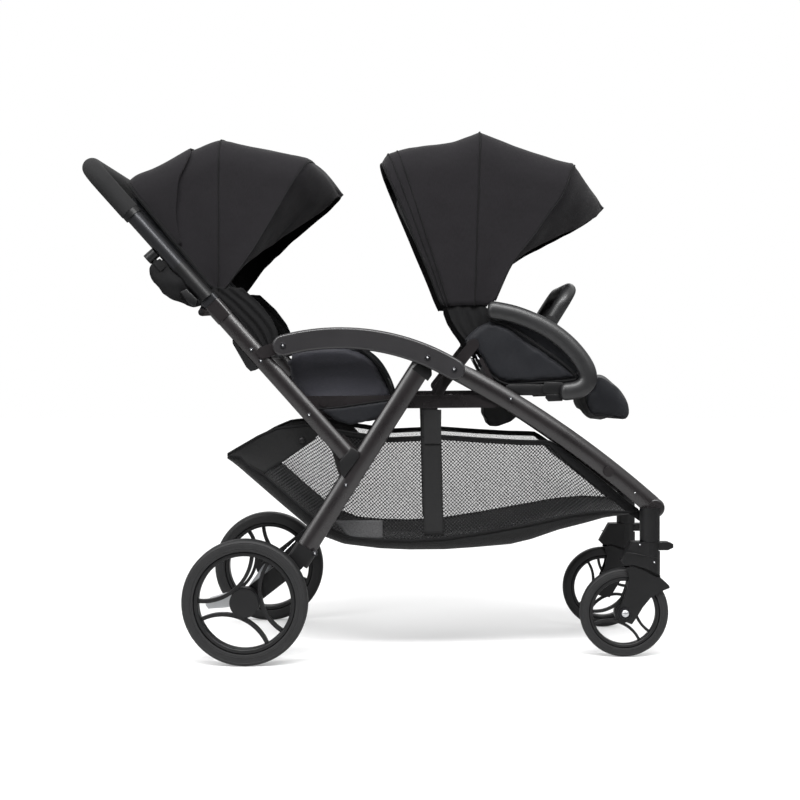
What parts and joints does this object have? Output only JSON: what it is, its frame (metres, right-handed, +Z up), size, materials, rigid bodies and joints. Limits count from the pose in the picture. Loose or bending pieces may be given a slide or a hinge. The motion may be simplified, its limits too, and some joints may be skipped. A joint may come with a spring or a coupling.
{
  "type": "tandem pushchair",
  "caption": "Folding tandem pushchair with seats in line, hoods, a long mesh basket and swivelling front wheels.",
  "frame": {"origin": "on the floor under the centre of the bounding box", "axes": "+X forward, +Y to the pushchair's left, +Z up"},
  "size_m": [1.1698, 0.576, 1.038],
  "materials": {
    "coat": "satin powder coat",
    "moulded": "fine grained moulding",
    "steel": "satin",
    "axle_grey": "satin",
    "tyre": "matt foam rubber",
    "foam": "matt foam",
    "hood_cloth": "plain weave",
    "mesh_cloth": "knitted mesh",
    "seat_cloth": "plain weave"
  },
  "bodies": {
    "frame": {"arm_rails": "coat", "lower_push_tubes": "coat", "front_tubes": "coat", "head_tubes": "moulded", "front_cross_tube": "coat", "seat_rails": "coat", "seat_cross_tubes": "coat", "frame_rivets": "steel", "latch_hooks": "moulded", "leg_brackets": "coat", "rear_seat_base": "seat_cloth", "rear_seat_sides": "seat_cloth", "front_seat_base": "seat_cloth", "front_seat_sides": "seat_cloth", "arm_loops": "coat", "recline_links": "coat", "basket": "mesh_cloth", "basket_straps": "mesh_cloth", "harness_buckles": "moulded"},
    "handle": {"handle_tube": "coat", "handle_collars": "moulded", "handle_grip": "foam", "handle_pouch": "moulded"},
    "sleeves": {"lock_sleeves": "moulded"},
    "rear_leg_set": {"rear_legs": "coat", "axle_brackets": "moulded", "rear_axle": "axle_grey", "leg_rivets": "steel", "brake_spring": "steel"},
    "brake": {"brake_pedal": "axle_grey"},
    "rear_wheel_right": {"rear_rim_right": "moulded", "rear_tyre_right": "tyre"},
    "caster_right": {"caster_housing_right": "moulded", "caster_fork_right": "moulded"},
    "front_wheel_right": {"front_rim_right": "moulded", "front_tyre_right": "tyre"},
    "swivel_tab_right": {"swivel_lock_right": "moulded"},
    "rear_wheel_left": {"rear_rim_left": "moulded", "rear_tyre_left": "tyre"},
    "caster_left": {"caster_housing_left": "moulded", "caster_fork_left": "moulded"},
    "front_wheel_left": {"front_rim_left": "moulded", "front_tyre_left": "tyre"},
    "swivel_tab_left": {"swivel_lock_left": "moulded"},
    "rear_back": {"rear_backrest": "seat_cloth", "rear_hood_rear": "hood_cloth"},
    "rear_hood_middle": {"rear_hood_mid": "hood_cloth", "rear_hood_bow_mid": "coat"},
    "rear_hood_front": {"rear_hood_visor": "hood_cloth", "rear_hood_bow_front": "coat"},
    "front_back": {"front_backrest": "seat_cloth", "front_hood_rear": "hood_cloth"},
    "front_hood_middle": {"front_hood_mid": "hood_cloth", "front_hood_bow_mid": "coat"},
    "front_hood_front": {"front_hood_visor": "hood_cloth", "front_hood_bow_front": "coat"},
    "bumper": {"bumper_bar": "foam"},
    "calf": {"calf_rest": "seat_cloth"}
  },
  "joints": [
    {"name": "frame_fold", "type": "hinge", "parent": "frame", "child": "rear_leg_set", "pos_m": [0.094, 0, 0.594], "axis": [0, -1, 0], "range_deg": [0, 60]},
    {"name": "handle_fold", "type": "hinge", "parent": "frame", "child": "handle", "pos_m": [-0.34638, 0, 0.68266], "axis": [0, -1, 0], "range_deg": [0, 128]},
    {"name": "lock_sleeve_slide", "type": "slide", "parent": "handle", "child": "sleeves", "axis": [-0.6667, 0, 0.7453], "range_m": [0, 0.012], "stiffness_N_per_m": 300, "springref_m": -0.01},
    {"name": "brake_press", "type": "hinge", "parent": "rear_leg_set", "child": "brake", "pos_m": [-0.2584, 0, 0.122], "axis": [0, -1, 0], "range_deg": [0, 14]},
    {"name": "rear_wheel_spin_right", "type": "hinge", "parent": "rear_leg_set", "child": "rear_wheel_right", "pos_m": [-0.2584, -0.27, 0.122], "axis": [0, 1, 0], "continuous": true},
    {"name": "rear_wheel_spin_left", "type": "hinge", "parent": "rear_leg_set", "child": "rear_wheel_left", "pos_m": [-0.2584, 0.27, 0.122], "axis": [0, 1, 0], "continuous": true},
    {"name": "caster_swivel_right", "type": "hinge", "parent": "frame", "child": "caster_right", "pos_m": [0.537, -0.176, 0.229], "axis": [0, 0, 1], "continuous": true},
    {"name": "front_wheel_spin_right", "type": "hinge", "parent": "caster_right", "child": "front_wheel_right", "pos_m": [0.4856, -0.176, 0.088], "axis": [0, 1, 0], "continuous": true},
    {"name": "swivel_lock_lift_right", "type": "hinge", "parent": "caster_right", "child": "swivel_tab_right", "pos_m": [0.561, -0.176, 0.227], "axis": [0, -1, 0], "range_deg": [0, 20]},
    {"name": "caster_swivel_left", "type": "hinge", "parent": "frame", "child": "caster_left", "pos_m": [0.537, 0.176, 0.229], "axis": [0, 0, 1], "continuous": true},
    {"name": "front_wheel_spin_left", "type": "hinge", "parent": "caster_left", "child": "front_wheel_left", "pos_m": [0.4856, 0.176, 0.088], "axis": [0, 1, 0], "continuous": true},
    {"name": "swivel_lock_lift_left", "type": "hinge", "parent": "caster_left", "child": "swivel_tab_left", "pos_m": [0.561, 0.176, 0.227], "axis": [0, -1, 0], "range_deg": [0, 20]},
    {"name": "rear_recline", "type": "hinge", "parent": "frame", "child": "rear_back", "pos_m": [-0.2, 0, 0.59], "axis": [0, -1, 0], "range_deg": [-6, 24]},
    {"name": "front_recline", "type": "hinge", "parent": "frame", "child": "front_back", "pos_m": [0.186, 0, 0.62], "axis": [0, -1, 0], "range_deg": [-4, 7]},
    {"name": "rear_hood_fold", "type": "hinge", "parent": "rear_back", "child": "rear_hood_middle", "pos_m": [-0.32, 0, 0.716], "axis": [0, -1, 0], "range_deg": [0, 22]},
    {"name": "rear_visor_fold", "type": "hinge", "parent": "rear_hood_middle", "child": "rear_hood_front", "pos_m": [-0.32, 0, 0.716], "axis": [0, -1, 0], "range_deg": [0, 22]},
    {"name": "front_hood_fold", "type": "hinge", "parent": "front_back", "child": "front_hood_middle", "pos_m": [0.186, 0, 0.62], "axis": [0, -1, 0], "range_deg": [0, 22]},
    {"name": "front_visor_fold", "type": "hinge", "parent": "front_hood_middle", "child": "front_hood_front", "pos_m": [0.186, 0, 0.62], "axis": [0, -1, 0], "range_deg": [0, 22]},
    {"name": "bumper_tilt", "type": "hinge", "parent": "frame", "child": "bumper", "pos_m": [0.338, 0, 0.662], "axis": [0, 1, 0], "range_deg": [0, 60]},
    {"name": "calf_rest_raise", "type": "hinge", "parent": "frame", "child": "calf", "pos_m": [0.418, 0, 0.548], "axis": [0, -1, 0], "range_deg": [0, 45]}
  ],
  "couplings": [
    {"joint": "handle_fold", "follows": "frame_fold", "ratio": 2.13},
    {"joint": "rear_visor_fold", "follows": "rear_hood_fold", "ratio": 1},
    {"joint": "front_visor_fold", "follows": "front_hood_fold", "ratio": 1}
  ]
}
